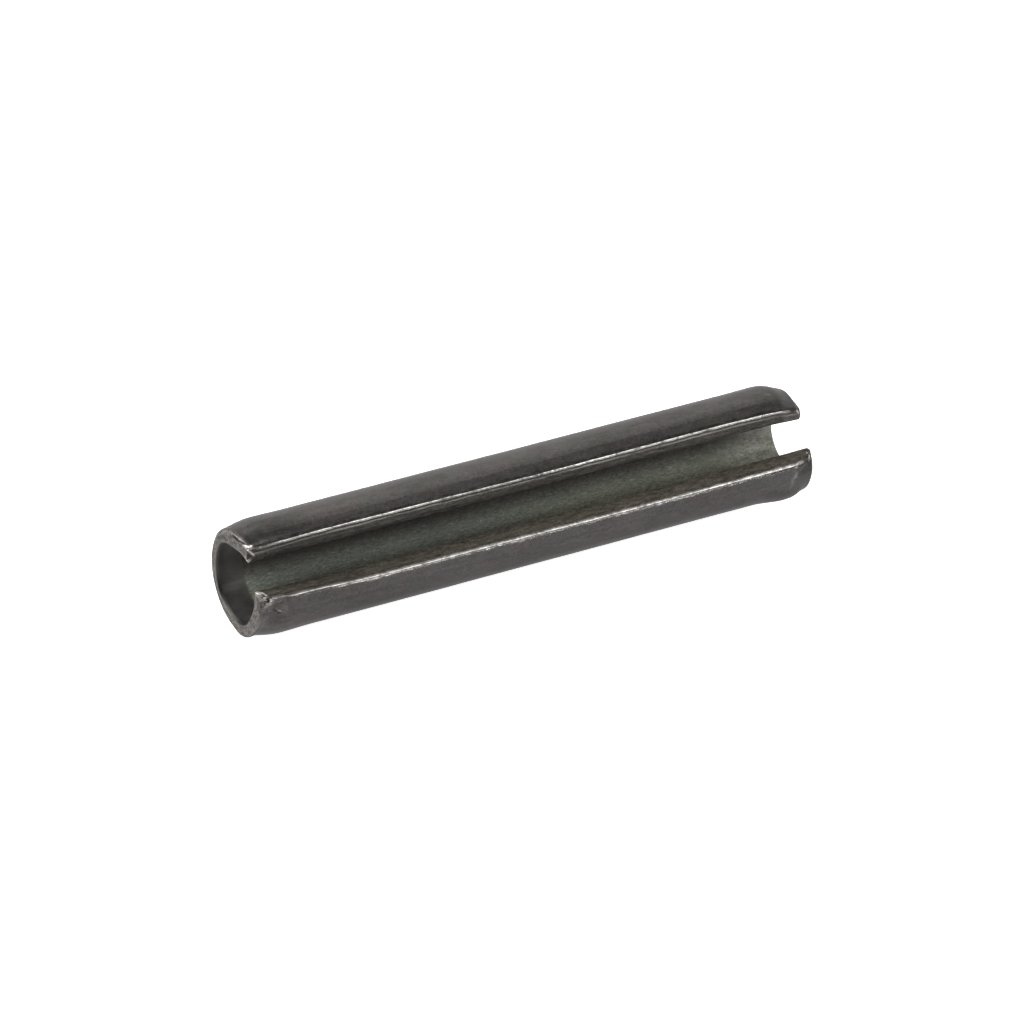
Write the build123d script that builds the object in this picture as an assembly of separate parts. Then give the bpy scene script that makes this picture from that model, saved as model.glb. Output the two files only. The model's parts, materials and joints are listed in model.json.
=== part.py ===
"""Slotted spring pin, heavy pattern, nominal size 10 x 60, in its free state.

One strip of spring steel, sheared square along both long edges and rolled round
into a tube that is left open along a wide slot. Each end is coined to a lead-in
taper, so the pin can be driven into a hole that is smaller than it is.

Frame: the pin's axis lies along X, with the origin on the axis at mid-length.
The slot is at the top, towards +Z, which is how a loose pin settles when it
lies on a flat surface. Lengths are in millimetres and angles in degrees.
"""

import math
import os

from build123d import *

# --- driving dimensions -------------------------------------------------------

PIN_DIAMETER = 10.8  # across the shank, free, before the pin is driven
PIN_LENGTH = 60.0  # over both end faces
WALL = 1.7  # strip thickness round the rolled back
SLOT_HALF_ANGLE = 29.5  # from the slot's middle to each outer slot corner
LIP_FLAT_ANGLE = 45.0  # the strip's last stretch stays straight from here on
OUTER_EDGE_RADIUS = 0.20  # worn outer corner of each sheared edge
INNER_EDGE_RADIUS = 0.10  # inner corner of each sheared edge

TAPER_LENGTH = 2.1  # lead-in taper, back from the end face
TAPER_DIAMETER = 10.0  # where the taper meets the rim bevel
BEVEL_LENGTH = 0.45  # rim bevel, back from the end face
RIM_DIAMETER = 8.7  # outside of the flat end face
SHOULDER_RADIUS = 3.0  # soft roll from the shank into the taper
BORE_BREAK = 0.15  # broken inner corner of the mouth

LIP_DROP_FROM = 1.9  # height above the axis where an end starts to fall back
NEAR_LIP_SETBACK = 0.75  # how far back the slot corners lie, -X end
FAR_LIP_SETBACK = 1.05  # and at the +X end

# --- derived ------------------------------------------------------------------

R = PIN_DIAMETER / 2
R_BORE = R - WALL
HALF = PIN_LENGTH / 2


def at_angle(radius, degrees, side):
    """A point of the section: degrees are measured from +Z, side is +1 or -1."""
    a = math.radians(degrees)
    return (side * radius * math.sin(a), radius * math.cos(a))


def section():
    """The rolled strip's section, with Y across and Z up as the sketch's axes."""
    flat = math.radians(LIP_FLAT_ANGLE)
    # The straight stretch's inner face is tangent to the bore at LIP_FLAT_ANGLE,
    # and the sheared edge is square to it.
    lip_wall = R * math.cos(math.radians(LIP_FLAT_ANGLE - SLOT_HALF_ANGLE)) - R_BORE

    def inner_corner(side):
        y, z = at_angle(R, SLOT_HALF_ANGLE, side)
        return (y - side * lip_wall * math.sin(flat), z - lip_wall * math.cos(flat))

    with BuildSketch(Plane.XY) as strip:
        with BuildLine():
            ThreePointArc(
                at_angle(R, SLOT_HALF_ANGLE, 1),
                (0, -R),
                at_angle(R, SLOT_HALF_ANGLE, -1),
            )
            Line(at_angle(R, SLOT_HALF_ANGLE, -1), inner_corner(-1))
            Line(inner_corner(-1), at_angle(R_BORE, LIP_FLAT_ANGLE, -1))
            ThreePointArc(
                at_angle(R_BORE, LIP_FLAT_ANGLE, -1),
                (0, -R_BORE),
                at_angle(R_BORE, LIP_FLAT_ANGLE, 1),
            )
            Line(at_angle(R_BORE, LIP_FLAT_ANGLE, 1), inner_corner(1))
            Line(inner_corner(1), at_angle(R, SLOT_HALF_ANGLE, 1))
        make_face()
        outer = [v for v in strip.vertices() if v.Y > 0 and math.hypot(v.X, v.Y) > R - 0.01]
        fillet(outer, OUTER_EDGE_RADIUS)
        lip = math.hypot(*inner_corner(1))
        inner = [
            v for v in strip.vertices() if v.Y > 0 and abs(math.hypot(v.X, v.Y) - lip) < 0.01
        ]
        fillet(inner, INNER_EDGE_RADIUS)
    return strip.sketch


def coined_envelope():
    """The turned outline that the coining dies leave, as a solid of revolution."""
    taper_start = HALF - TAPER_LENGTH
    taper_end = HALF - BEVEL_LENGTH
    slope = math.atan2(R - TAPER_DIAMETER / 2, taper_end - taper_start)
    blend = SHOULDER_RADIUS * math.tan(slope / 2)

    def half(side):
        return [
            (side * (taper_start - blend), R),
            (
                side * (taper_start + blend * math.cos(slope)),
                R - blend * math.sin(slope),
            ),
            (side * taper_end, TAPER_DIAMETER / 2),
            (side * HALF, RIM_DIAMETER / 2),
            (side * HALF, 0),
        ]

    near, far = half(-1), half(1)
    with BuildPart() as body:
        with BuildSketch(Plane.XY):
            with BuildLine():
                Line(near[4], near[3])
                Line(near[3], near[2])
                Line(near[2], near[1])
                TangentArc(near[0], near[1], tangent=(-1, 0))
                Line(near[0], far[0])
                TangentArc(far[0], far[1], tangent=(1, 0))
                Line(far[1], far[2])
                Line(far[2], far[3])
                Line(far[3], far[4])
                Line(far[4], near[4])
            make_face()
        revolve(axis=Axis.X)
    return body.part


def lip_cut(side, setback):
    """A wedge that lets the slot corners of one end fall back behind its rim."""
    top = 2 * R
    run = setback / (R * math.cos(math.radians(SLOT_HALF_ANGLE)) - LIP_DROP_FROM)
    profile = Polyline(
        (side * HALF, LIP_DROP_FROM),
        (side * (HALF - run * (top - LIP_DROP_FROM)), top),
        (side * (HALF + 2), top),
        (side * (HALF + 2), LIP_DROP_FROM),
        close=True,
    )
    with BuildPart() as cut:
        with BuildSketch(Plane.XZ):
            add(profile)
            make_face()
        extrude(amount=2 * R, both=True)
    return cut.part


def mouth_break(side):
    """The small countersink that breaks the inner corner of one mouth."""
    depth = BORE_BREAK
    cone = Cone(
        bottom_radius=R_BORE - 0.5,
        top_radius=R_BORE + depth,
        height=0.5 + depth,
        align=(Align.CENTER, Align.CENTER, Align.MAX),
    )
    turn = Rotation(0, 90, 0) if side > 0 else Rotation(0, -90, 0)
    return Pos(side * HALF, 0, 0) * turn * cone


# --- the pin --------------------------------------------------------------------

# Sketch X runs along the row's Y and sketch Y along its Z, so the strip is drawn
# on the YZ plane and pulled both ways from mid-length.
blank = extrude(Plane.YZ * section(), amount=HALF, both=True)

spring_pin = blank & coined_envelope()
for end, drop in ((-1, NEAR_LIP_SETBACK), (1, FAR_LIP_SETBACK)):
    spring_pin -= lip_cut(end, drop)
    spring_pin -= mouth_break(end)

spring_pin = spring_pin.solids()[0]

os.makedirs("parts", exist_ok=True)
export_step(spring_pin, "parts/spring_pin.step")

print("slot across the outer corners", round(2 * R * math.sin(math.radians(SLOT_HALF_ANGLE)), 3))
print("volume", round(spring_pin.volume, 1), "valid", spring_pin.is_valid)
box = spring_pin.bounding_box()
print("from", box.min, "to", box.max)
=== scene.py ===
import json
import math

import bpy
import numpy as np
from mathutils import Matrix, Vector


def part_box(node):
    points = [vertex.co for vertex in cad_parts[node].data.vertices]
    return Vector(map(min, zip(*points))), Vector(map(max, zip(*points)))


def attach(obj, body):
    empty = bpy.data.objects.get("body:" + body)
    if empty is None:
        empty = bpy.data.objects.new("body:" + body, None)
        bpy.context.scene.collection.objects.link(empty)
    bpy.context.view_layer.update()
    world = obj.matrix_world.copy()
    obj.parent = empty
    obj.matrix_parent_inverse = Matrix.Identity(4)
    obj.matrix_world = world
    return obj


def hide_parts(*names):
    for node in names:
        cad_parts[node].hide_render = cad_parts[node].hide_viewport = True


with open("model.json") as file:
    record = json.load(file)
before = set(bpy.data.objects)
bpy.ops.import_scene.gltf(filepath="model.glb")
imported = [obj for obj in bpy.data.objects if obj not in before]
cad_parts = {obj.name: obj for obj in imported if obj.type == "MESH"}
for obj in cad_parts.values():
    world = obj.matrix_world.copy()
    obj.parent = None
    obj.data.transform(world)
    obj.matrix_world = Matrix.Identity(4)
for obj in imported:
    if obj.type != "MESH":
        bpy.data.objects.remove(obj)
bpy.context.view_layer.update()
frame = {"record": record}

LOW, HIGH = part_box("spring_pin")
R = (HIGH[1] - LOW[1]) / 2  # free outer radius, metres
for mount in frame["record"]["mounts"]:
    if mount["name"] == "shank":
        R = mount["dims"]["r_mm"] / 1000
HALF = (HIGH[0] - LOW[0]) / 2 / R  # half the length, in radii

# >>> shape
# ------------------------------------------------------------------------------
# Shape. Lengths here are in units of the outer radius until the mesh is made.
# theta is the polar angle in the section in degrees, 0 at the bottom (-Z) and
# + towards +Y, so the slot is at 180. t is the distance back from an end.
# ------------------------------------------------------------------------------

BORE = 0.69
FLAT = 43.5  # the strip's straight lips start here, from the slot's middle


def spline(xs, ys, x):
    """A smooth curve (cubic Hermite) through points, held level beyond them."""
    xs, ys = np.asarray(xs, float), np.asarray(ys, float)
    x = np.clip(np.asarray(x, float), xs[0], xs[-1])
    slope = np.gradient(ys, xs)
    i = np.clip(np.searchsorted(xs, x, side="right") - 1, 0, len(xs) - 2)
    h = xs[i + 1] - xs[i]
    u = (x - xs[i]) / h
    return (
        (2 * u**3 - 3 * u**2 + 1) * ys[i]
        + (u**3 - 2 * u**2 + u) * h * slope[i]
        + (-2 * u**3 + 3 * u**2) * ys[i + 1]
        + (u**3 - u**2) * h * slope[i + 1]
    )


def step(lo, hi, x):
    u = np.clip((np.asarray(x, float) - lo) / (hi - lo), 0, 1)
    return u * u * (3 - 2 * u)


def waves(*coords, seed, octaves=4, scale=1.0, gain=0.55):
    """Smooth, repeatable irregularity about 0, from sums of sines with fixed phases."""
    rng = np.random.RandomState(seed)
    out, size, total = 0.0, 1.0, 0.0
    for _ in range(octaves):
        for _ in range(3):
            k = rng.normal(size=len(coords))
            k *= (1 + 0.5 * rng.rand()) / np.linalg.norm(k)
            phase = rng.rand() * 2 * np.pi
            out = out + size * np.sin(
                scale * sum(a * c for a, c in zip(k, coords)) + phase
            )
        total += size * 1.5
        size *= gain
        scale *= 2.1
    return out / total


# The slot's four corner lines along the pin: |Y| of each.
OUT_X = [-5.56, -5.26, -5.0, -4.8, -4.5, -4.1, -3.7, -2.9, -2.1, -1.3, 0.0, 1.5, 2.7, 3.9, 4.4, 4.9, 5.25, 5.56]
UPPER_OUT = [0.472, 0.475, 0.479, 0.482, 0.487, 0.492, 0.492, 0.486, 0.484, 0.478, 0.469, 0.472, 0.477, 0.480, 0.474, 0.460, 0.440, 0.423]
LOWER_OUT = [0.405, 0.423, 0.432, 0.430, 0.438, 0.455, 0.472, 0.488, 0.489, 0.493, 0.502, 0.508, 0.510, 0.508, 0.505, 0.498, 0.489, 0.482]
IN_X = [-5.56, -5.3, -5.0, -4.5, -4.0, -3.0, -1.5, 2.0, 4.0, 4.6, 5.1, 5.56]
UPPER_IN = [0.262, 0.266, 0.270, 0.272, 0.272, 0.272, 0.272, 0.272, 0.272, 0.272, 0.262, 0.246]
LOWER_IN = [0.214, 0.224, 0.234, 0.244, 0.252, 0.260, 0.262, 0.262, 0.262, 0.262, 0.260, 0.254]
IN_R = [0.695, 0.697, 0.700, 0.705, 0.708, 0.708, 0.708, 0.708, 0.708, 0.705, 0.697, 0.690]

# The rim, where the bevelled end meets the outside: its radius, and how far it lies
# back from the end.
RIM_AT = [-158, -150, -143, -130, -110, -90, -70, -50, -30, 0, 30, 60, 80, 100, 120, 135, 143, 150, 158]
NEAR_RIM_R = [0.955, 0.952, 0.935, 0.918, 0.915, 0.927, 0.925, 0.900, 0.872, 0.872, 0.862, 0.900, 0.918, 0.928, 0.922, 0.915, 0.924, 0.942, 0.950]
NEAR_RIM_T = [0.240, 0.225, 0.130, 0.055, 0.042, 0.040, 0.042, 0.055, 0.065, 0.070, 0.068, 0.060, 0.050, 0.048, 0.055, 0.085, 0.140, 0.235, 0.290]
NEAR_BURR = [0.0, 0.0, 0.0, 0.004, 0.014, 0.026, 0.030, 0.015, 0.004, 0.008, 0.006, 0.004, 0.004, 0.006, 0.010, 0.008, 0.006, 0.002, 0.0]
FAR_RIM_R = [0.930, 0.930, 0.932, 0.940, 0.955, 0.965, 0.958, 0.930, 0.905, 0.890, 0.885, 0.880, 0.875, 0.868, 0.858, 0.854, 0.860, 0.872, 0.880]
FAR_RIM_T = [0.250, 0.228, 0.200, 0.160, 0.130, 0.110, 0.095, 0.080, 0.075, 0.070, 0.075, 0.085, 0.095, 0.110, 0.140, 0.180, 0.210, 0.250, 0.290]
# The taper behind the rim, and the swelling behind that.
TAPER_T = [0.0, 0.07, 0.17, 0.33, 0.46, 0.60]
TAPER = [1.0, 0.82, 0.56, 0.21, 0.05, 0.0]
SWELL_AT = [-158, -130, -90, -45, 0, 45, 90, 130, 158]
NEAR_SWELL = [0.004, 0.008, 0.010, 0.004, 0.0, 0.004, 0.008, 0.003, 0.0]
FAR_SWELL = [0.010, 0.032, 0.052, 0.018, 0.0, 0.002, 0.008, 0.004, 0.002]
# The flat end face: its outer radius, and how far its outer side and the mouth's
# edge fall back, mostly near the slot.
FACE_AT = [-164, -152, -130, -100, -45, 0, 45, 100, 130, 152, 164]
NEAR_FACE_R = [0.905, 0.900, 0.880, 0.860, 0.825, 0.815, 0.815, 0.850, 0.870, 0.900, 0.910]
NEAR_FACE_T = [0.010, 0.008, 0.004, 0.0, 0.008, 0.020, 0.010, 0.0, 0.004, 0.020, 0.030]
NEAR_EDGE_T = [0.010, 0.008, 0.004, 0.0, 0.008, 0.020, 0.010, 0.0, 0.004, 0.020, 0.030]
FAR_FACE_R = [0.870, 0.870, 0.860, 0.850, 0.820, 0.800, 0.800, 0.800, 0.790, 0.800, 0.800]
FAR_FACE_T = [0.185, 0.165, 0.105, 0.050, 0.010, 0.0, 0.005, 0.035, 0.110, 0.125, 0.130]
FAR_EDGE_T = [0.110, 0.095, 0.055, 0.015, 0.0, 0.0, 0.0, 0.030, 0.105, 0.120, 0.130]
# The mouth isn't round: how far its edge stands off the bore's circle.
MOUTH_AT = [-160, -150, -141, -121, -107, -91, -76, -62, -47, -27, -10, 0, 9, 25, 36, 49, 62, 78, 94, 109, 125, 140, 150, 160]
NEAR_MOUTH = [0.0, -0.006, -0.011, -0.011, 0.0, 0.032, 0.030, 0.009, -0.016, -0.011, 0.010, 0.004, -0.008, -0.023, -0.025, -0.015, 0.0, 0.010, -0.014, -0.043, -0.041, -0.012, -0.004, 0.0]
FAR_MOUTH = [0.0, -0.010, -0.012, 0.0, 0.01, 0.02, 0.01, 0.0, -0.01, -0.01, 0.0, 0.0, 0.0, -0.01, -0.01, 0.0, 0.0, 0.0, -0.01, -0.02, -0.03, -0.03, -0.02, 0.0]
# How much the lips' ends are rounded over, near and far, -Y and +Y.
TIP_ROUND = {(-1, -1): 0.022, (-1, 1): 0.022, (1, -1): 0.045, (1, 1): 0.040}

# --- grid sizes -----------------------------------------------------------------
ROUND_OUT, ROUND_IN = 4, 3  # columns that round half a lip's corner
FLAT_COLS = 16  # columns along each straight lip
ARC_COLS = 136  # columns round the back, closer together near the lips
CUT_COLS = 18  # columns down a sheared edge


def outer_radius(theta, x):
    near, far = x + HALF, HALF - x
    r = 1 - (1 - spline(RIM_AT, NEAR_RIM_R, theta)) * spline(TAPER_T, TAPER, near)
    r = r - (1 - spline(RIM_AT, FAR_RIM_R, theta)) * spline(TAPER_T, TAPER, far)
    r = r + spline(RIM_AT, NEAR_BURR, theta) * np.exp(-((near / 0.06) ** 2))
    r = r + spline(SWELL_AT, NEAR_SWELL, theta) * step(0.2, 0.6, near) * (
        1 - step(0.6, 1.2, near)
    )
    r = r + spline(SWELL_AT, FAR_SWELL, theta) * step(0.0, 0.34, far) * (
        1 - step(0.5, 1.15, far)
    )
    return r


def polar(theta):
    a = np.radians(theta)
    return np.stack([np.sin(a), -np.cos(a)], -1)


def unit(v):
    return v / np.linalg.norm(v, axis=-1, keepdims=True)


def bend(a, corner, b, tau):
    """Points on a rounded corner, from a towards corner to b, at tau from 0 to 1."""
    tau = np.asarray(tau)[None, :, None]
    return (
        (1 - tau) ** 2 * a[:, None]
        + 2 * tau * (1 - tau) * corner[:, None]
        + tau**2 * b[:, None]
    )


def straight(a, b, count):
    """count points from a towards b, without b."""
    u = (np.arange(count) / count)[None, :, None]
    return a[:, None] * (1 - u) + b[:, None] * u


def section_loops(x):
    """The closed outline of the section at each x: (stations, points, 2) as Y, Z.

    It runs from the middle of the -Y lip's outer corner round the back to the +Y
    lip's, down that sheared edge, back along the bore, and up the -Y sheared edge.
    Also returns how deep in the wall each point is (1 outside, 0 in the bore), and
    how many points the outer face and a sheared edge have.
    """
    lips = {}
    for side, outs, ins, seed in ((-1, LOWER_OUT, LOWER_IN, 11), (1, UPPER_OUT, UPPER_IN, 12)):
        y = spline(OUT_X, outs, x) + 0.0025 * waves(x, seed=seed, scale=9.0, octaves=3)
        r = outer_radius(side * 151.0 + 0 * x, x)
        corner = np.stack([side * y, np.sqrt(r**2 - y**2)], -1)
        a0 = side * (180 - FLAT)
        start = outer_radius(a0 + 0 * x, x)[:, None] * polar(a0)
        yi = spline(IN_X, ins, x) + 0.002 * waves(x, seed=seed + 5, scale=6.0)
        ri = spline(IN_X, IN_R, x)
        inner = np.stack([side * yi, np.sqrt(ri**2 - yi**2)], -1)
        phi = np.arctan2(yi, inner[:, 1]) + np.arccos(np.clip(BORE / ri, -1, 1))
        touch = BORE * np.stack([side * np.sin(phi), np.cos(phi)], -1)
        down = unit(inner - corner)
        # the outer corner is worn round, more in some places than in others
        if side < 0:
            worn = 0.052 * (1 + 0.20 * waves(x, seed=5, scale=8.0, octaves=3))
        else:
            worn = 0.036 * (1 + 0.15 * waves(x, seed=3, scale=7.0, octaves=3))
        lips[side] = dict(
            corner=corner,
            inner=inner,
            start=start,
            touch=touch,
            phi=phi,
            a=corner + unit(start - corner) * worn[:, None],
            b=corner + down * worn[:, None],
            ai=inner + unit(touch - inner) * 0.016,
            bi=inner - down * 0.016,
        )
    lo, up = lips[-1], lips[1]
    half_out = np.linspace(0, 0.5, ROUND_OUT + 1)
    half_in = np.linspace(0, 0.5, ROUND_IN + 1)
    u = np.linspace(-1, 1, ARC_COLS + 1)
    u = 1.25 * u - 0.25 * u**3
    angles = (180 - FLAT) * u
    th, xx = np.meshgrid(angles, x)
    arc = outer_radius(th, xx)[..., None] * polar(th)
    outer = np.concatenate(
        [
            bend(lo["b"], lo["corner"], lo["a"], 0.5 + half_out)[:, :-1],
            straight(lo["a"], lo["start"], FLAT_COLS),
            arc,
            straight(up["start"], up["a"], FLAT_COLS)[:, 1:],
            bend(up["a"], up["corner"], up["b"], half_out),
        ],
        1,
    )
    u = (u[None] + 1) / 2
    th = (np.pi - up["phi"])[:, None] * (1 - u) + (lo["phi"] - np.pi)[:, None] * u
    arc_in = BORE * np.stack([np.sin(th), -np.cos(th)], -1)
    extra = ROUND_OUT - ROUND_IN
    inner = np.concatenate(
        [
            bend(up["bi"], up["inner"], up["ai"], 0.5 + half_in)[:, :-1],
            straight(up["ai"], up["touch"], FLAT_COLS + extra),
            arc_in,
            straight(lo["touch"], lo["ai"], FLAT_COLS + extra)[:, 1:],
            bend(lo["ai"], lo["inner"], lo["bi"], half_in),
        ],
        1,
    )

    def cut(lip):
        return np.concatenate(
            [
                bend(lip["a"], lip["corner"], lip["b"], 0.5 + half_out)[:, 1:],
                straight(lip["b"], lip["bi"], CUT_COLS)[:, 1:],
                bend(lip["bi"], lip["inner"], lip["ai"], half_in)[:, :-1],
            ],
            1,
        )

    cut_up, cut_lo = cut(up), cut(lo)[:, ::-1]
    n_outer, n_cut = outer.shape[1], cut_up.shape[1]
    down = np.linspace(1, 0, n_cut + 2)[1:-1]
    depth = np.concatenate([np.ones(n_outer), down, np.zeros(n_outer), down[::-1]])
    return np.concatenate([outer, cut_up, inner, cut_lo], 1), depth, n_outer, n_cut


def stations():
    near = np.concatenate([np.linspace(0, 0.4, 26), np.linspace(0.425, 0.7, 12)])
    far = np.concatenate([np.linspace(0, 0.4, 22), np.linspace(0.43, 0.7, 10)])
    middle = np.linspace(0.7, 2 * HALF - 0.7, 132)[1:-1]
    return np.concatenate([near, middle, (2 * HALF - far)[::-1]])


def build_grid():
    t_near = stations()
    x0 = t_near - HALF
    loop, depth, n_outer, n_cut = section_loops(x0)
    rows, points, _ = loop.shape
    theta = np.degrees(np.arctan2(loop[..., 0], -loop[..., 1]))
    r = np.linalg.norm(loop, axis=-1)
    d = depth[None]
    t = np.repeat(t_near[:, None], points, 1)
    far = 2 * HALF - t
    mouth = spline(MOUTH_AT, NEAR_MOUTH, theta) * (1 - step(0.0, 0.7, t))
    mouth += spline(MOUTH_AT, FAR_MOUTH, theta) * (1 - step(0.0, 0.8, far))
    # a soft edge where the bore meets the end faces
    mouth += 0.012 * np.exp(-((t / 0.03) ** 2)) + 0.012 * np.exp(-((far / 0.03) ** 2))
    loop = loop * (1 + np.where(d < 0.001, mouth / r, 0))[..., None]
    back = []
    for end in (-1, 1):
        rim = spline(RIM_AT, NEAR_RIM_T if end < 0 else FAR_RIM_T, theta)
        face = spline(FACE_AT, NEAR_EDGE_T if end < 0 else FAR_EDGE_T, theta)
        tip = np.where(theta < 0, TIP_ROUND[end, -1], TIP_ROUND[end, 1])
        soft = 0.012 + (tip - 0.012) * step(150, 160, np.abs(theta))
        soft = np.where((d > 0.001) & (d < 0.999), tip, soft)
        mix = d**1.5
        back.append((face + soft) * (1 - mix) + rim * mix)
    x = x0[:, None] + back[0] * (1 - step(0.0, 0.75, t)) - back[1] * (
        1 - step(0.0, 0.75, far)
    )
    grid = np.stack([x, loop[..., 0], loop[..., 1]], -1)
    caps = []
    for end, row in ((-1, 0), (1, rows - 1)):
        th = theta[row]
        y, z = grid[row, :, 1], grid[row, :, 2]
        rr = np.hypot(y, z)
        face_r = spline(FACE_AT, NEAR_FACE_R if end < 0 else FAR_FACE_R, th)
        face_t = spline(FACE_AT, NEAR_FACE_T if end < 0 else FAR_FACE_T, th)
        edge_t = spline(FACE_AT, NEAR_EDGE_T if end < 0 else FAR_EDGE_T, th)
        face_t = edge_t * (1 - depth) + face_t * depth
        new_r = np.where(depth > 0.999, face_r, rr + 0.016)
        copy = grid[row, :, 1:] * (new_r / rr)[:, None]
        for side, i_out, i_in, seg in (
            (1, n_outer - 1, n_outer + n_cut, slice(n_outer, n_outer + n_cut)),
            (-1, 0, points - n_cut - 1, slice(points - n_cut, points)),
        ):
            pull = TIP_ROUND[end, side]
            near_lip = step(125, 157, side * th)
            copy[:, 0] += side * pull * near_lip
            w = depth[seg][:, None]
            copy[seg] = copy[i_in] * (1 - w) + copy[i_out] * w
        caps.append((end, row, copy, face_t))
    return grid, depth, theta, n_outer, n_cut, caps, t_near


def close_caps(grid, depth, n_outer, n_cut, caps):
    """Adds the bevels and the flat end faces. Returns vertices and quads."""
    rows, points, _ = grid.shape
    verts = [grid.reshape(-1, 3)]
    loops = [np.arange(points) + points * r for r in range(rows)]
    count = rows * points
    before, after = [], []
    for end, row, copy, face_t in caps:
        rim = grid[row]
        target = np.stack([end * (HALF - face_t), copy[:, 0], copy[:, 1]], -1)
        new = []
        for b, crown in (
            (0.10, 0.06),
            (0.28, 0.12),
            (0.50, 0.16),
            (0.72, 0.14),
            (0.90, 0.07),
            (1.0, 0.0),
        ):
            p = rim * (1 - b) + target * b
            p[:, 0] += end * crown * np.abs(rim[:, 0] - target[:, 0])
            new.append(np.arange(points) + count)
            count += points
            verts.append(p)
        if end < 0:
            before = new[::-1]
        else:
            after = new
    loops = before + loops + after
    quads = [
        np.stack([a, b, np.roll(b, -1), np.roll(a, -1)], -1)
        for a, b in zip(loops[:-1], loops[1:])
    ]
    everything = np.concatenate(verts)
    for ids, flip in ((loops[0], False), (loops[-1], True)):
        outer = ids[:n_outer]
        inner = ids[n_outer + n_cut : 2 * n_outer + n_cut][::-1]
        table = np.zeros((n_outer, n_cut + 2), int)
        table[:, 0], table[:, -1] = outer, inner
        table[-1, 1:-1] = ids[n_outer : n_outer + n_cut]
        table[0, 1:-1] = ids[2 * n_outer + n_cut :][::-1]
        w = depth[n_outer : n_outer + n_cut]
        fill = (
            everything[outer[1:-1], None] * w[None, :, None]
            + everything[inner[1:-1], None] * (1 - w)[None, :, None]
        )
        table[1:-1, 1:-1] = (
            np.arange((n_outer - 2) * n_cut).reshape(n_outer - 2, n_cut) + count
        )
        count += (n_outer - 2) * n_cut
        verts.append(fill.reshape(-1, 3))
        q = np.stack(
            [table[:-1, :-1], table[1:, :-1], table[1:, 1:], table[:-1, 1:]], -1
        ).reshape(-1, 4)
        quads.append(q[:, ::-1] if flip else q)
    return np.concatenate(verts), np.concatenate(quads)


# <<< shape
# ------------------------------------------------------------------------------
# Fine relief on that shape, and the masks that the material reads
# ------------------------------------------------------------------------------

DINGS = [  # where: x, theta; size along x and round the pin; depth (- is raised)
    (-5.225, -140.5, 0.050, 0.030, -0.006),
    (-5.225, -138.0, 0.060, 0.025, 0.007),
    (5.02, -142.0, 0.030, 0.090, -0.006),
    (2.10, -118.0, 0.050, 0.040, 0.004),
    (-1.70, 112.0, 0.060, 0.030, 0.004),
    (3.60, 70.0, 0.050, 0.050, 0.004),
    (-3.20, -60.0, 0.060, 0.030, 0.004),
    (0.80, 20.0, 0.080, 0.040, 0.004),
]


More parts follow.
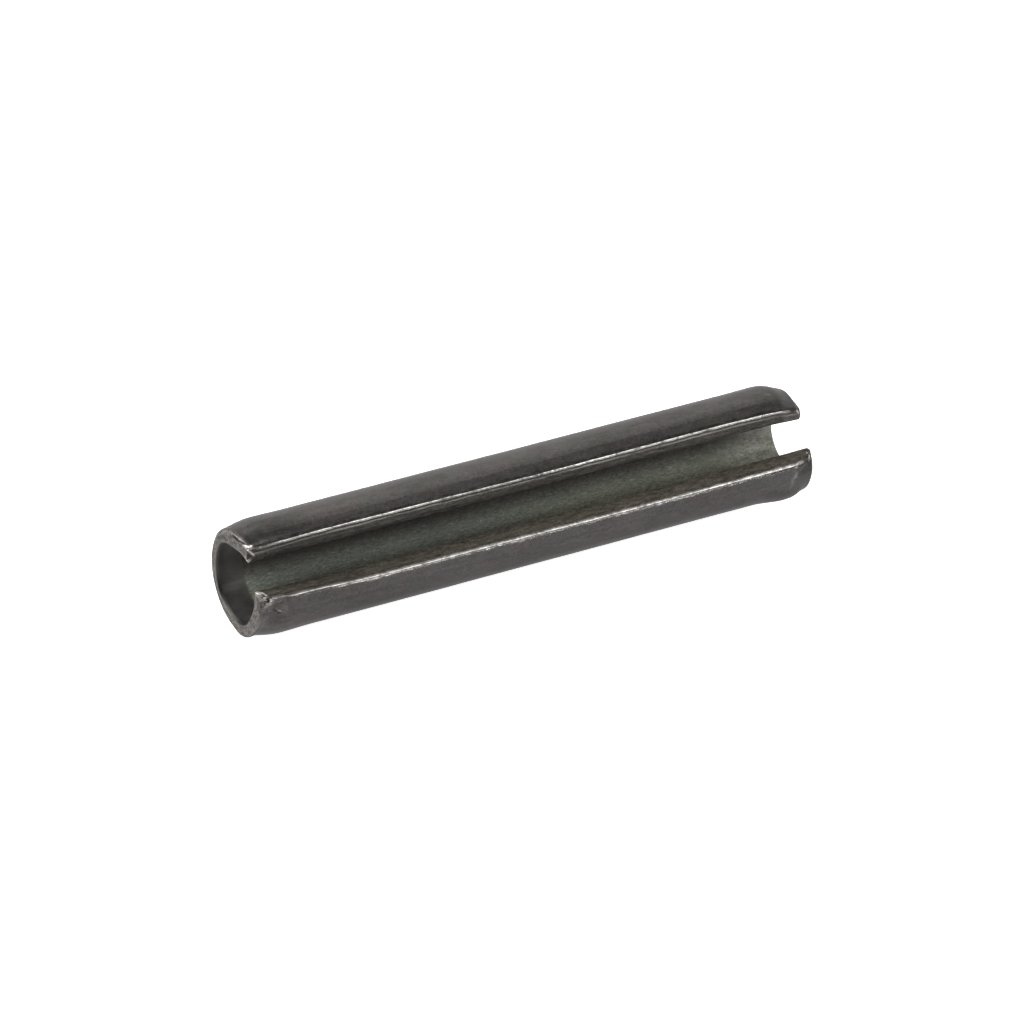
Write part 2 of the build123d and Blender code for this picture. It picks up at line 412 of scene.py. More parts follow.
# the groove and pit marks are painted shadow in nicks, grooves and pits over slight real dents; on the ding
# near the -X end one groove mark and one light mark are its painted shadow and painted highlight
MARKS = {  # rubbed, scuffed and nicked places: half width, then the points each runs through (x, y, z)
    "groove_painted_shadow": [
        (0.020, (-5.445, 0.467, 0.792), (-5.415, 0.450, 0.790)),
        (0.018, (-5.497, 0.382, 0.730), (-5.470, 0.370, 0.730)),
        (0.014, (-5.442, 0.336, 0.706)),
        (0.030, (-5.223, 0.535, 0.795), (-5.121, 0.530, 0.825)),
        (0.014, (-5.215, 0.357, 0.742), (-5.175, 0.357, 0.742)),
        (0.014, (-5.361, 0.352, 0.722)),
        (0.012, (-5.456, -0.306, 0.757), (-5.430, -0.324, 0.778)),
        # the shaded side of the ding near the -X end: painted shadow
        (0.013, (-5.276, -0.620, 0.730), (-5.180, -0.685, 0.709)),
        (0.012, (-5.415, -0.562, 0.736)),
        (0.018, (5.316, -0.406, 0.758)),
    ],
    "pit_painted_shadow": [
        (0.014, (-5.455, 0.461, 0.789)),
        (0.022, (-5.426, -0.394, 0.823), (-5.399, -0.394, 0.825), (-5.419, -0.438, 0.820)),
        (0.014, (-5.490, -0.331, 0.773)),
    ],
    "faint": [
        (0.020, (-5.554, 0.704, 0.392)),
        (0.018, (-5.555, 0.754, 0.239)),
        (0.032, (-5.520, 0.305, 0.668), (-5.469, 0.326, 0.696)),
        (0.026, (-5.347, 0.468, 0.806)),
        (0.022, (-5.541, 0.568, 0.692), (-5.510, 0.568, 0.708)),
        (0.026, (-5.508, -0.595, 0.691), (-5.523, -0.703, 0.577), (-5.533, -0.807, 0.412)),
    ],
    "light": [
        (0.022, (-5.420, 0.390, 0.745), (-5.408, 0.369, 0.734)),
        (0.026, (-5.505, 0.304, 0.673), (-5.536, 0.381, 0.650)),
        (0.034, (-5.520, 0.300, 0.668), (-5.480, 0.316, 0.686)),
        (0.034, (-5.428, -0.461, 0.805), (-5.363, -0.484, 0.795)),
        (0.030, (-5.443, -0.514, 0.765)),
        # the lit side of the ding near the -X end: painted highlight
        (0.018, (-5.268, -0.582, 0.756), (-5.181, -0.652, 0.732)),
        (0.022, (5.384, 0.362, 0.707), (5.410, 0.290, 0.664)),
        (0.016, (5.331, -0.442, 0.779), (5.300, -0.500, 0.790)),
    ],
    "shine": [
        (0.016, (-5.515, 0.480, 0.772), (-5.481, 0.443, 0.774), (-5.420, 0.385, 0.745)),
        (0.030, (-5.516, 0.300, 0.668), (-5.500, 0.302, 0.674)),
        (0.016, (-5.510, 0.560, 0.712), (-5.489, 0.534, 0.744)),
        (0.024, (-5.489, 0.532, 0.744), (-5.467, 0.527, 0.753), (-5.430, 0.536, 0.753)),
        (0.022, (-5.511, -0.241, 0.688), (-5.420, -0.281, 0.734)),
        (0.036, (-5.490, -0.250, 0.705), (-5.455, -0.268, 0.722)),
        (0.016, (-5.420, -0.281, 0.734), (-5.394, -0.330, 0.790)),
        (0.011, (-5.439, -0.345, 0.798), (-5.465, -0.393, 0.824)),
        (0.024, (-5.362, -0.424, 0.831), (-5.317, -0.428, 0.834)),
        (0.022, (5.349, 0.412, 0.740), (5.380, 0.370, 0.715)),
        (0.018, (5.354, -0.340, 0.707)),
        (0.015, (5.371, -0.393, 0.740), (5.331, -0.442, 0.779)),
    ],
    "brown": [
        (0.052, (-5.540, -0.375, 0.770), (-5.548, -0.467, 0.713), (-5.550, -0.530, 0.660)),
    ],
    "scuff": [
        (0.030, (5.227, -0.510, 0.806), (5.149, -0.564, 0.807), (5.056, -0.614, 0.800),
         (4.997, -0.685, 0.758), (4.945, -0.740, 0.713), (4.944, -0.804, 0.644), (4.952, -0.869, 0.561)),
        (0.035, (4.948, 0.807, 0.596)),
    ],
}


def painted(points, paths):
    """1 along each path, 0.5 at its half width, 0 at twice that."""
    out = np.zeros(len(points))
    for wide, *path in paths:
        for p, q in zip(path, path[1:] or path):
            p, run = np.array(p), np.array(q) - np.array(p)
            u = np.clip((points - p) @ run / max(run @ run, 1e-9), 0, 1)
            gap = np.linalg.norm(points - p - u[:, None] * run, axis=1)
            out = np.maximum(out, 1 - gap / (2 * wide))
    return out


def vertex_normals(points, quads):
    a, b, c, d = (points[quads[:, i]] for i in range(4))
    n = np.cross(c - a, d - b)
    total = np.zeros_like(points)
    for i in range(4):
        np.add.at(total, quads[:, i], n)
    return unit(total)


def relief(grid, theta, depth):
    """How far each point of the long surface moves out along its radius."""
    x, y, z = grid[..., 0], grid[..., 1], grid[..., 2]
    out = depth[None] > 0.999
    arc = np.radians(theta)
    # rolled strip is never dead true: long low waves on both faces
    skin = 0.0022 * waves(0.45 * x, 3.2 * y, 3.2 * z, seed=21, scale=1.6, octaves=4)
    skin += 0.0007 * waves(1.2 * x, 9 * y, 9 * z, seed=22, scale=3.0, octaves=3)
    bore = 0.0030 * waves(0.25 * x, 5 * y, 5 * z, seed=23, scale=1.8, octaves=4)
    move = np.where(out, skin, bore)
    fade = 1 - step(0.0, 0.06, np.minimum(x + HALF, HALF - x))
    move = move * (1 - 0.7 * fade)
    for cx, ct, sx, st, deep in DINGS:
        da = (theta - ct + 180) % 360 - 180
        move -= (
            deep
            * np.exp(-(((x - cx) / sx) ** 2) - ((np.radians(da) / st) ** 2))
            * out
        )
    return move


def cut_relief(grid, depth, n_outer, n_cut):
    """How far each point of a sheared edge stands out of it."""
    x = grid[..., 0]
    d = depth[None]
    inside = np.clip(4 * d * (1 - d), 0, 1)
    tear = 0.0022 * waves(2.2 * x, 9 * d + 0 * x, seed=31, scale=1.5, octaves=4)
    lip = 0.0035 * np.exp(-(((d - 0.30 - 0.03 * waves(x, seed=32, scale=3)) / 0.07) ** 2))
    return (tear + lip) * inside


grid, depth, theta, n_outer, n_cut, caps, along = build_grid()
rows, points, _ = grid.shape
move = relief(grid, theta, depth)
radial = grid[..., 1:] / np.linalg.norm(grid[..., 1:], axis=-1, keepdims=True)
on_skin = (depth > 0.999) | (depth < 0.001)
rise = cut_relief(grid, depth, n_outer, n_cut)
across = np.where(np.arange(points) < n_outer + n_cut, -1.0, 1.0)[None]
grid[..., 1] += np.where(on_skin[None], move * radial[..., 0], across * 0.72 * rise)
grid[..., 2] += np.where(on_skin[None], move * radial[..., 1], 0.69 * rise)
verts, quads = close_caps(grid, depth, n_outer, n_cut, caps)


def masks(verts, quads, rows, points, n_outer, n_cut, depth):
    """Per-vertex numbers for the material, in the order of the vertices."""
    n = len(verts)
    grid_n = rows * points
    cap_n = 6 * points
    fill_n = (n_outer - 2) * n_cut
    col = np.concatenate(
        [
            np.tile(np.arange(points), rows),
            np.tile(np.arange(points), 12),
            np.zeros(2 * fill_n, int),
        ]
    )
    d = depth[col]
    w = depth[n_outer : n_outer + n_cut]
    d[-2 * fill_n :] = np.tile(w, 2 * (n_outer - 2))
    zone = {}
    # 0 on the long surfaces, rising over the bevel to 1 on the flat end
    end = np.zeros(n)
    bevel = np.repeat([0.10, 0.28, 0.50, 0.72, 0.90, 1.0], points)
    end[grid_n : grid_n + 2 * cap_n] = np.tile(bevel, 2)
    end[grid_n + 2 * cap_n :] = 1.0
    zone["end"] = end
    zone["depth"] = d
    is_cut = (d > 0.001) & (d < 0.999)
    is_cut[-2 * fill_n :] = False
    zone["cut"] = is_cut.astype(float)
    # distance from each outer lip corner, in radii, from the columns' own places
    along_skin = np.zeros(points)
    mid = grid[rows // 2]
    steps = np.linalg.norm(np.diff(mid[:, 1:], axis=0, append=mid[:1, 1:]), axis=1)
    run = np.concatenate([[0], np.cumsum(steps)[:-1]])
    total = steps.sum()
    up = run[n_outer - 1]
    to_low = np.minimum(run, total - run)
    to_up = np.abs(run - up)
    far_away = np.full(2 * fill_n, 9.0)
    signed_low = np.where(run < total / 2, run, run - total)  # + is on the outside
    signed_up = up - run
    zone["low"] = np.concatenate([np.tile(signed_low, rows + 12), far_away])
    zone["up"] = np.concatenate([np.tile(signed_up, rows + 12), far_away])
    return zone


zone = masks(verts, quads, rows, points, n_outer, n_cut, depth)
for name, paths in MARKS.items():
    zone[name] = painted(verts, paths)
# nicks and pits are pressed in a little; their darkness is painted shadow
push = 0.004 * step(0.2, 0.9, zone["shine"]) - 0.006 * step(0.2, 0.9, zone["groove_painted_shadow"])
push -= 0.014 * step(0.2, 0.9, zone["pit_painted_shadow"])
verts = verts + push[:, None] * vertex_normals(verts, quads)
mesh = bpy.data.meshes.new("pin_body")
mesh.from_pydata((verts * R).tolist(), [], quads.tolist())
mesh.update()
mesh.validate()
for p in mesh.polygons:
    p.use_smooth = True
for name, values in zone.items():
    attribute = mesh.attributes.new(name, "FLOAT", "POINT")
    attribute.data.foreach_set("value", values.astype(np.float32))
pin = bpy.data.objects.new("pin_body", mesh)
bpy.context.collection.objects.link(pin)
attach(pin, "root")
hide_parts("spring_pin")

# ------------------------------------------------------------------------------
# Material: blackened spring steel, bright where it is worn
# ------------------------------------------------------------------------------
steel = bpy.data.materials.new("oxide_steel_detail")
steel.use_nodes = True
tree = steel.node_tree
tree.nodes.clear()


def put(kind, inputs=(), **settings):
    """A node with its settings and inputs. An input is a value, or another node's socket."""
    made = tree.nodes.new("ShaderNode" + kind)
    for key, value in settings.items():
        setattr(made, key, value)
    for key, value in dict(inputs).items():
        if isinstance(value, bpy.types.NodeSocket):
            tree.links.new(value, made.inputs[key])
        else:
            made.inputs[key].default_value = value
    return made


def calc(operation, *values, clamp=False):
    return put(
        "Math", enumerate(values), operation=operation, use_clamp=clamp
    ).outputs[0]


def add(*v):
    out = v[0]
    for w in v[1:]:
        out = calc("ADD", out, w)
    return out


def times(*v):
    out = v[0]
    for w in v[1:]:
        out = calc("MULTIPLY", out, w)
    return out


def ease(value, lo, hi, a=0.0, b=1.0):
    """a below lo, b above hi, smooth between. lo and hi may be sockets."""
    return put(
        "MapRange",
        {
            "Value": value,
            "From Min": lo,
            "From Max": hi,
            "To Min": a,
            "To Max": b,
        },
        interpolation_type="SMOOTHSTEP",
    ).outputs[0]


def blend(factor, a, b):
    made = put("Mix", {"Factor": factor}, data_type="RGBA", clamp_factor=True)
    for key, value in (("A", a), ("B", b)):
        socket = [i for i in made.inputs if i.name == key and i.type == "RGBA"][0]
        if isinstance(value, bpy.types.NodeSocket):
            tree.links.new(value, socket)
        else:
            socket.default_value = (*value, 1)
    return [o for o in made.outputs if o.type == "RGBA"][0]


def shade(colour, amount):
    """colour times a number."""
    made = put("VectorMath", operation="SCALE")
    tree.links.new(colour, made.inputs[0])
    if isinstance(amount, bpy.types.NodeSocket):
        tree.links.new(amount, made.inputs["Scale"])
    else:
        made.inputs["Scale"].default_value = amount
    return made.outputs[0]


def attr(name):
    return put("Attribute", attribute_name=name).outputs["Fac"]


def noise(at, scale, detail=3.0, rough=0.55, warp=0.0):
    return put(
        "TexNoise",
        {
            "Vector": at,
            "Scale": scale,
            "Detail": detail,
            "Roughness": rough,
            "Distortion": warp,
        },
    ).outputs["Fac"]


def stretch(at, x, y, z, shift=(0, 0, 0)):
    return put(
        "Mapping", {"Vector": at, "Scale": (x, y, z), "Location": shift}
    ).outputs[0]


place = put("TexCoord").outputs["Object"]
place = stretch(place, 1 / R, 1 / R, 1 / R)  # in radii
split = put("SeparateXYZ", {0: place})
px, py, pz = split.outputs
end, depth_at, cut = attr("end"), attr("depth"), attr("cut")
low, up = attr("low"), attr("up")
theta_at = calc("ARCTAN2", py, calc("MULTIPLY", pz, -1.0))  # radians

# --- how one spot differs from the next -------------------------------------------
blotch = noise(stretch(place, 0.55, 1, 1), 1.7, 4, 0.55)
tint = noise(stretch(place, 0.6, 1, 1, (9, 3, 5)), 3.6, 5, 0.62)
mottle = noise(stretch(place, 0.6, 1, 1, (3, 1, 2)), 7.5, 5, 0.62, 0.3)
speck = noise(stretch(place, 0.75, 1, 1, (6, 2, 8)), 21.0, 3, 0.6)
grain = noise(stretch(place, 0.8, 1, 1, (7, 5, 1)), 42.0, 3, 0.6)
fine = noise(stretch(place, 1, 1, 1, (1, 9, 4)), 120.0, 2, 0.6)
drawn = noise(stretch(place, 0.05, 1, 1, (2, 4, 6)), 26.0, 5, 0.62)
drawn_fine = noise(stretch(place, 0.12, 1, 1, (5, 4, 1)), 60.0, 3, 0.6)
dashes = noise(stretch(place, 0.36, 1, 1, (1, 6, 3)), 34.0, 3, 0.62)
patchy = noise(stretch(place, 0.8, 1, 1, (2, 2, 9)), 9.0, 4, 0.6)
ragged = noise(stretch(place, 0.35, 1, 1, (4, 4, 4)), 22.0, 5, 0.65)
ragged_fine = noise(stretch(place, 0.7, 1, 1, (8, 2, 4)), 60.0, 3, 0.6)


def swing(value, amount):
    """value runs from 0 to 1 about 0.5: turned into -amount..amount."""
    return times(calc("SUBTRACT", value, 0.5), 2 * amount)


def flip(value):
    return calc("SUBTRACT", 1.0, value)


def biggest(values):
    out = values[0]
    for v in values[1:]:
        out = calc("MAXIMUM", out, v)
    return out


# --- where the surface is which -----------------------------------------------------
inner = times(ease(depth_at, 0.02, 0.0), flip(ease(end, 0.3, 0.6)))
# round the +Y side of the -X end the bevel has a light rim, then a groove painted dark as its shadow, and the
# skin beside the rim is painted darker as shade
rim_band = times(
    ease(depth_at, 0.85, 0.97),
    ease(theta_at, math.radians(110), math.radians(118)),
    ease(theta_at, math.radians(145), math.radians(141)),
    ease(px, -4.0, -5.0),
)
rim_at = ease(theta_at, math.radians(112), math.radians(143), 0.44, 0.17)
groove_at = ease(theta_at, math.radians(127), math.radians(143), 0.80, 0.43)
rim_light = times(ease(calc("ABSOLUTE", calc("SUBTRACT", end, rim_at)), 0.15, 0.06), rim_band)
rim_groove_painted_shadow = times(
    ease(calc("ABSOLUTE", calc("SUBTRACT", end, groove_at)), 0.27, 0.15),
    rim_band,
    ease(theta_at, math.radians(114), math.radians(122)),
)
on_end = ease(
    end,
    add(0.0, times(rim_band, 0.18), times(ease(depth_at, 0.05, 0.0), 0.35)),
    add(0.35, times(ease(depth_at, 0.05, 0.0), 0.45)),
)
face = ease(end, 0.45, 0.9)
bevel = calc("SUBTRACT", on_end, face, clamp=True)

# --- outside --------------------------------------------------------------------------
tone = add(
    1.0,
    swing(blotch, 0.30),
    swing(mottle, 0.42),
    swing(speck, 0.50),
    swing(grain, 0.75),
    swing(fine, 0.30),
    swing(drawn, 0.08),
)
outside = blend(
    ease(tint, 0.38, 0.62),
    blend(ease(py, -0.2, 0.3), (0.0472, 0.0458, 0.0442), (0.0475, 0.0472, 0.0425)),
    (0.0540, 0.0470, 0.0448),
)
outside = blend(
    times(ease(patchy, 0.48, 0.66), 0.7), outside, (0.0505, 0.0452, 0.0490)
)
# painted shade: the strip's straight lip beside the slot is darkened, most of all at the +X end, standing in
# for the darker reflection off that flat band
crease = math.radians(136.5)
crease = add(crease, times(ease(px, 4.72, 5.45), math.radians(14.0)))
sharper = ease(px, 4.2, 4.8)
lip_painted_shade = ease(
    add(calc("SUBTRACT", theta_at, crease), swing(mottle, 0.10)),
    add(-0.12, times(sharper, 0.09)),
    add(0.10, times(sharper, -0.06)),
)
outside = shade(outside, add(1.0, times(lip_painted_shade, -0.14), times(lip_painted_shade, sharper, -0.06)))
# painted shade: the other lip's straight band is darkened away from its ends, so that it shows no lit crease
# and stays even in tone
under = calc("MULTIPLY", theta_at, -1.0)
low_lip_painted_shade = ease(add(under, swing(mottle, 0.08)), 2.24, 2.44)
outside = shade(
    outside, add(1.0, times(low_lip_painted_shade, ease(px, -5.10, -4.95), ease(px, 5.05, 4.9), -0.26))
)
# painted light: the -Y side of the -X end, where its taper renders dark, is lightened
near_taper_painted_light = biggest([ease(under, 2.28, 2.44), times(ease(px, -5.32, -5.45), 0.8)])
outside = shade(
    outside, add(1.0, times(near_taper_painted_light, ease(px, -5.01, -5.12), ease(under, 1.9, 2.2), 0.85))
)
# painted shade: a darkened patch on the +Y lip near the -X end, over the highlight that the swelling there
# catches
swell_painted_shade = times(
    ease(calc("ABSOLUTE", add(theta_at, -2.34)), 0.20, 0.04),
    ease(calc("ABSOLUTE", add(px, 5.29)), 0.27, 0.07),
)
outside = shade(outside, add(1.0, times(swell_painted_shade, -0.60)))
# darker in ragged patches right beside the bright line
edge_dark = times(
    ease(calc("ABSOLUTE", calc("SUBTRACT", up, 0.052)), 0.045, 0.012),
    ease(ragged, 0.40, 0.56),
)
tone = calc("MULTIPLY", tone, add(1.0, times(edge_dark, -0.55)))
outside = shade(outside, tone)

# --- bore: greenish, browner by the -Y lip, painted lighter grey towards the +Y lip where less light falls, and darker nearest that lip ---
streaks = add(
    1.0,
    swing(drawn, 0.14),
    swing(drawn_fine, 0.36),
    times(
        add(swing(dashes, 1.15), swing(grain, 0.95)),
        ease(py, 0.05, 0.22, 1.0, 0.55),
        ease(px, 3.4, 4.6, 1.0, 0.55),
    ),
    swing(mottle, 0.26),
    swing(blotch, 0.16),
)
streaks = times(streaks, ease(px, -2.2, 3.0, 0.84, 1.15))
green = blend(ragged, (0.078, 0.089, 0.069), (0.094, 0.103, 0.083))
green = blend(ease(px, -2.5, 3.0), green, (0.089, 0.097, 0.068))
near_brown = ease(add(py, swing(ragged, 0.16)), -0.16, -0.42)
inside = blend(near_brown, green, (0.090, 0.080, 0.062))
# painted light: lighter grey where less light reaches the bore by the +Y lip
upper_painted_light = ease(add(py, swing(ragged, 0.10)), -0.02, 0.16)
inside = blend(upper_painted_light, inside, (0.116, 0.113, 0.101))
upper_dark = ease(add(py, swing(ragged, 0.10)), 0.25, 0.50)
inside = blend(upper_dark, inside, (0.075, 0.072, 0.066))
# bright flecks in the middle of the bore
flecks = times(ease(dashes, 0.60, 0.70), ease(calc("ABSOLUTE", add(py, -0.02)), 0.30, 0.10))
inside = blend(times(flecks, 0.55), inside, (0.165, 0.172, 0.150))
# the coined ends of the bore: darker at one end, with painted light on its +Y side, paler at the other
pale = times(
    ease(add(px, swing(mottle, 0.5)), 3.9, 4.9),
    ease(add(patchy, swing(speck, 0.15)), 0.44, 0.58, 0.15, 1.0),
    ease(py, -0.42, -0.25),
)
inside = blend(times(pale, 0.75), inside, (0.180, 0.180, 0.152))
inside = shade(inside, streaks)
dark_mouth = ease(add(px, swing(ragged_fine, 0.03)), -4.99, -5.05)
# at the -X mouth the colour is darker, darkest right by the mouth; towards +Y it is lighter, painted light
# where the bore there reflects its own dark inside
mouth_colour_with_painted_light = shade(
    blend(
        ease(py, -0.02, 0.42),
        blend(
            ease(calc("ABSOLUTE", add(py, 0.12)), 0.02, 0.20),
            (0.034, 0.0326, 0.031),
            (0.062, 0.0595, 0.056),
        ),
        (0.160, 0.154, 0.147),
    ),
    times(
        add(1.0, swing(mottle, 0.25), swing(speck, 0.2)),
        ease(px, add(-5.56, times(ease(py, 0.0, 0.5), 0.03)), -5.25, 0.45, 1.0),
    ),
)
inside = blend(times(dark_mouth, 0.96), inside, mouth_colour_with_painted_light)

# --- sheared edges ------------------------------------------------------------------------
torn = noise(stretch(place, 0.22, 1, 1, (1, 3, 2)), 30.0, 5, 0.7)
plus_side = ease(py, -0.1, 0.1)
sheared_lo = blend(ease(torn, 0.38, 0.66), (0.038, 0.034, 0.027), (0.076, 0.068, 0.057))
sheared_up = blend(ease(torn, 0.38, 0.66), (0.043, 0.040, 0.037), (0.080, 0.075, 0.069))
sheared = blend(plus_side, sheared_lo, sheared_up)
sheared = shade(sheared, ease(px, -3.5, 0.5, 1.0, 1.22))
sheared = shade(
    sheared,
    add(1.0, swing(drawn_fine, 0.40), swing(speck, 0.40), swing(grain, 1.0), swing(mottle, 0.35)),
)
# on the +Y edge a second, fainter bright line runs below the first
second_at = add(-0.086, times(ease(calc("ABSOLUTE", px), 4.5, 5.15), -0.020))
second = times(
    ease(
        calc("ABSOLUTE", add(calc("SUBTRACT", up, second_at), swing(ragged, 0.020))),
        0.026,
        0.010,
    ),
    ease(add(drawn, swing(grain, 0.3)), 0.38, 0.54, 0.25, 1.0),
    cut,
)
sheared = blend(
    times(second, ease(calc("ABSOLUTE", px), 4.7, 3.9, 0.85, 1.0)),
    sheared,
    blend(ease(calc("ABSOLUTE", px), 3.9, 4.7), (0.275, 0.262, 0.247), (0.190, 0.181, 0.170)),
)
# on the -Y edge a dark seam runs below the bright line
seam = times(
    ease(
        calc("ABSOLUTE", add(low, 0.085, swing(ragged, 0.03))), 0.026, 0.008
    ),
    ease(drawn, 0.40, 0.58),
    cut,
)
sheared = shade(sheared, add(1.0, times(seam, -0.45)))

# --- ends ------------------------------------------------------------------------------------
faced = blend(
    ease(add(speck, swing(grain, 0.25)), 0.36, 0.66),
    (0.044, 0.039, 0.036),
    (0.130, 0.122, 0.115),
)
faced = blend(ease(px, -1.0, 1.0, 0.0, 0.5), faced, (0.085, 0.079, 0.074))
faced = shade(faced, add(1.0, swing(mottle, 0.5), swing(grain, 0.3)))
# painted highlight along the mouth's edge; the outer bevel is lighter in patches, most on the -Y side
mouth_painted_highlight = times(on_end, ease(add(depth_at, swing(speck, 0.10)), 0.20, 0.08))
faced = blend(
    times(mouth_painted_highlight, ease(px, -5.0, -4.0, ease(py, -0.55, 0.0, 0.25, 0.7), 0.7)),
    faced,
    (0.118, 0.111, 0.105),
)
outer_bevel = times(
    bevel,
    ease(depth_at, 0.8, 0.95),
    ease(calc("ABSOLUTE", theta_at), 1.5, 1.9),
    ease(py, 0.2, -0.3, 0.35, 1.0),
    ease(add(speck, swing(mottle, 0.3)), 0.34, 0.50),
    flip(rim_band),
)
faced = blend(times(outer_bevel, 0.8), faced, (0.150, 0.143, 0.136))
faced = blend(times(rim_light, ease(speck, 0.3, 0.5, 0.6, 1.0)), faced, (0.165, 0.157, 0.150))
# painted shadow in the rim's groove
faced = blend(rim_groove_painted_shadow, faced, (0.018, 0.0155, 0.0145))

colour = blend(inner, outside, inside)
colour = blend(cut, colour, sheared)
colour = blend(on_end, colour, faced)
# painted shade: the skin beside the rim, which faces the light, is darkened
colour = shade(colour, add(1.0, times(rim_band, ease(end, 0.95, 0.80), -0.36)))

# --- bright worn lines along the slot ----------------------------------------------------------
breaks = noise(stretch(place, 1, 1, 1, (3, 7, 1)), 6.0, 5, 0.7)
beads = noise(stretch(place, 1, 1, 1, (5, 5, 2)), 13.0, 4, 0.62)
wobble = noise(stretch(place, 0.8, 0.8, 0.8, (3, 2, 1)), 3.0, 3, 0.6)
from_up = add(up, 0.002, swing(wobble, 0.008))
whole = times(ease(px, -3.9, -4.3), 0.2)  # hardly broken near the -X end
line_up = times(
    ease(from_up, add(0.026, swing(ragged_fine, 0.012)), 0.010),
    ease(from_up, add(-0.028, swing(ragged_fine, 0.012)), -0.014),
    ease(add(breaks, whole), 0.41, 0.455, 0.30, 1.0),
)
from_low = add(low, ease(px, -3.6, -2.9, 0.0, 0.009), swing(wobble, 0.008))
frayed = add(from_low, swing(ragged_fine, 0.030), swing(ragged, 0.026))
fray = biggest([ease(px, 3.2, 4.8), ease(px, -3.6, -4.5)])
line_low = times(
    ease(frayed, add(0.046, times(fray, -0.018)), add(0.023, times(fray, -0.012))),
    ease(from_low, add(-0.030, swing(ragged_fine, 0.012)), -0.014),
    ease(add(breaks, whole), 0.40, 0.44, 0.45, 1.0),
)
# specks of bright metal scattered outside the -Y line
specks = times(
    ease(add(ragged_fine, swing(ragged, 0.5)), 0.54, 0.68),
    ease(low, 0.085, 0.02),
    ease(low, -0.04, 0.0),
)
# both stop short of the rounded tips
stops = times(
    ease(px, add(5.20, swing(ragged, 0.04)), 5.14),
    ease(px, -5.34, -5.30),
)
bare = times(biggest([line_up, line_low, times(specks, 0.40)]), stops, flip(on_end))
bright = blend(ease(beads, 0.38, 0.58), (0.20, 0.190, 0.182), (0.37, 0.356, 0.342))
bright = shade(bright, ease(low, 0.0, 0.03, 1.0, 1.7))
bright = shade(bright, ease(px, -3.9, -3.3, ease(py, -0.1, 0.1, 0.72, 0.88), 1.0))
bright = shade(bright, ease(times(px, ease(py, 0.1, -0.1)), 3.4, 4.2, 1.0, 1.5))
weaker = times(ease(calc("ABSOLUTE", add(px, 0.95)), 1.35, 0.75), ease(py, -0.1, 0.1))
bright = shade(bright, add(1.0, times(weaker, -0.30)))
colour = blend(bare, colour, bright)

# --- rubbed and nicked spots on the four tips, with painted shadow in the nicks and pits -----------
def spot(name, sharp=0.10):
    """A mark painted on the mesh, with an uneven edge."""
    return ease(add(attr(name), swing(ragged_fine, 0.30)), 0.5 - sharp, 0.5 + sharp)


groove_painted_shadow, pit_painted_shadow, shine = spot("groove_painted_shadow"), spot("pit_painted_shadow"), spot("shine")
light, faint = spot("light"), spot("faint")
brown = spot("brown", 0.30)
scuff = times(spot("scuff", 0.35), ease(speck, 0.30, 0.60, 0.35, 1.0))
colour = blend(times(scuff, 0.75), colour, (0.100, 0.096, 0.092))
colour = blend(times(brown, 0.8), colour, (0.052, 0.046, 0.043))
# painted shadow in nicks and grooves, and beside the ding
colour = blend(times(groove_painted_shadow, 0.85), colour, (0.032, 0.0275, 0.025))
colour = blend(faint, colour, blend(grain, (0.080, 0.076, 0.072), (0.120, 0.115, 0.110)))
# lighter rubbed spots, and a painted highlight on the ding near the -X end
colour = blend(light, colour, blend(grain, (0.125, 0.119, 0.114), (0.180, 0.172, 0.165)))
colour = blend(shine, colour, (0.40, 0.385, 0.37))
# painted shadow in pits
colour = blend(pit_painted_shadow, colour, (0.015, 0.013, 0.012))
rubbed = biggest([bare, shine, times(light, 0.5)])

# --- finish --------------------------------------------------------------------------------------
rough = add(0.43, swing(mottle, 0.06), swing(grain, 0.08), swing(drawn, 0.05))
rough = add(rough, times(inner, 0.06), times(cut, 0.12), times(on_end, 0.10))
rough = add(rough, times(rubbed, -0.12))
metal = add(
    0.90,
    times(inner, flip(times(dark_mouth, ease(py, 0.28, 0.0))), -0.75),
    times(bare, 0.10),
)

height = add(
    times(fine, 0.25),
    times(grain, 0.45),
    times(drawn_fine, 0.3),
    times(mottle, 0.6),
    times(cut, torn, 2.0),
    times(on_end, ragged_fine, 1.6),
)
bump = put("Bump", {"Strength": 0.35, "Distance": 0.00002, "Height": height})
surface = put(
    "BsdfPrincipled",
    {
        "Base Color": colour,
        "Metallic": metal,
        "Roughness": rough,
        "IOR": 1.5,
        "Specular Tint": (0.55, 0.55, 0.55, 1),
        "Normal": bump.outputs[0],
    },
)
put("OutputMaterial", {"Surface": surface.outputs[0]})
mesh.materials.append(steel)

# ------------------------------------------------------------------------------
# Stage, lights, camera
# ------------------------------------------------------------------------------
scene = bpy.context.scene
scene.view_settings.view_transform = "Standard"
scene.view_settings.look = "None"

floor_mesh = bpy.data.meshes.new("floor")
s = 3.0
floor_z = -R
floor_mesh.from_pydata(
    [(-s, -s, floor_z), (s, -s, floor_z), (s, s, floor_z), (-s, s, floor_z)],
    [],
    [(0, 1, 2, 3)],
)
floor = bpy.data.objects.new("floor", floor_mesh)
bpy.context.collection.objects.link(floor)
paper = bpy.data.materials.new("floor_white")
paper.use_nodes = True
pb = paper.node_tree.nodes["Principled BSDF"]
pb.inputs["Base Color"].default_value = (0.9, 0.9, 0.9, 1)
pb.inputs["Roughness"].default_value = 0.9
pb.inputs["Emission Color"].default_value = (1, 1, 1, 1)
pb.inputs["Emission Strength"].default_value = 0.7
floor_mesh.materials.append(paper)

world = bpy.data.worlds.new("world")
scene.world = world
world.use_nodes = True
sky = world.node_tree
background = sky.nodes["Background"]
background.inputs["Color"].default_value = (1, 1, 1, 1)
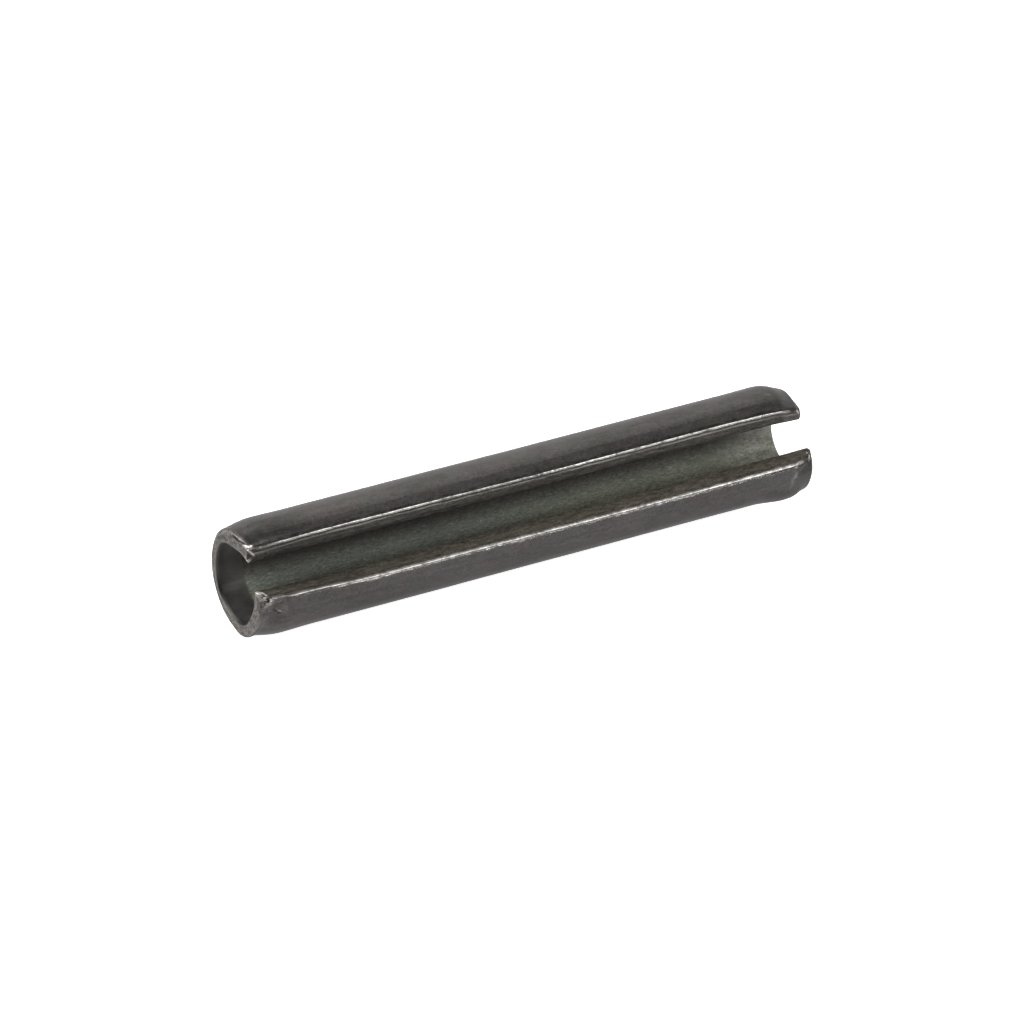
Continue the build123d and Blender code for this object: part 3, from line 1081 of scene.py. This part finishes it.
# a white room with a dimmer ceiling
look_up = sky.nodes.new("ShaderNodeTexCoord")
height_up = sky.nodes.new("ShaderNodeSeparateXYZ")
ceiling = sky.nodes.new("ShaderNodeMapRange")
ceiling.interpolation_type = "SMOOTHSTEP"
ceiling.inputs["From Min"].default_value = 0.06
ceiling.inputs["From Max"].default_value = 0.25
ceiling.inputs["To Min"].default_value = 1.0
ceiling.inputs["To Max"].default_value = 0.30
sky.links.new(look_up.outputs["Generated"], height_up.inputs[0])
sky.links.new(height_up.outputs["Z"], ceiling.inputs["Value"])
sky.links.new(ceiling.outputs[0], background.inputs["Strength"])


def softbox(name, round_pin, along_pin, size, power, distance=0.7):
    """An area light aimed at the pin. round_pin: degrees from overhead towards +Y;
    along_pin: degrees towards +X."""
    b, g = math.radians(round_pin), math.radians(along_pin)
    at = Vector((math.sin(g), math.cos(g) * math.sin(b), math.cos(g) * math.cos(b)))
    light = bpy.data.lights.new(name, "AREA")
    light.shape = "ELLIPSE"
    light.size, light.size_y = size
    light.energy = power
    o = bpy.data.objects.new(name, light)
    o.location = at * distance
    o.rotation_euler = (-at).to_track_quat("-Z", "Y").to_euler()
    bpy.context.collection.objects.link(o)


softbox("key", 61, -42, (0.46, 0.22), 10.0)
softbox("low_key", 80, -15, (0.26, 0.16), 4.0)
softbox("top", 9, 28, (0.30, 0.38), 2.5)
softbox("fill", -70, 25, (0.26, 0.26), 1.3)

# The camera, in the pin's frame: solved from the outline of the pin.
X = np.array([0.8626586, -0.22787764, 0.45154394])
n = np.array([0.43667118, -0.11493621, -0.89224881])
m = np.array([0.25522231, 0.96688233, 0.00035689])
C = np.array([0.12135074, -0.07635342, 120.07493])
lean = math.radians(1.0)
Z = math.cos(lean) * n + math.sin(lean) * m
Y = -(math.cos(lean) * m - math.sin(lean) * n)
camera = bpy.data.cameras.new("camera")
camera.sensor_width = 36
camera.lens = 36 * 7000 / 1024
camera.clip_start, camera.clip_end = 0.01, 20
cam = bpy.data.objects.new("camera", camera)
bpy.context.collection.objects.link(cam)
at = -np.array([C @ X, C @ Y, C @ Z]) * R
right = (X[0], Y[0], Z[0])
up = (-X[1], -Y[1], -Z[1])
back = (-X[2], -Y[2], -Z[2])
cam.matrix_world = Matrix(
    (
        (right[0], up[0], back[0], at[0]),
        (right[1], up[1], back[1], at[1]),
        (right[2], up[2], back[2], at[2]),
        (0, 0, 0, 1),
    )
)
scene.camera = cam
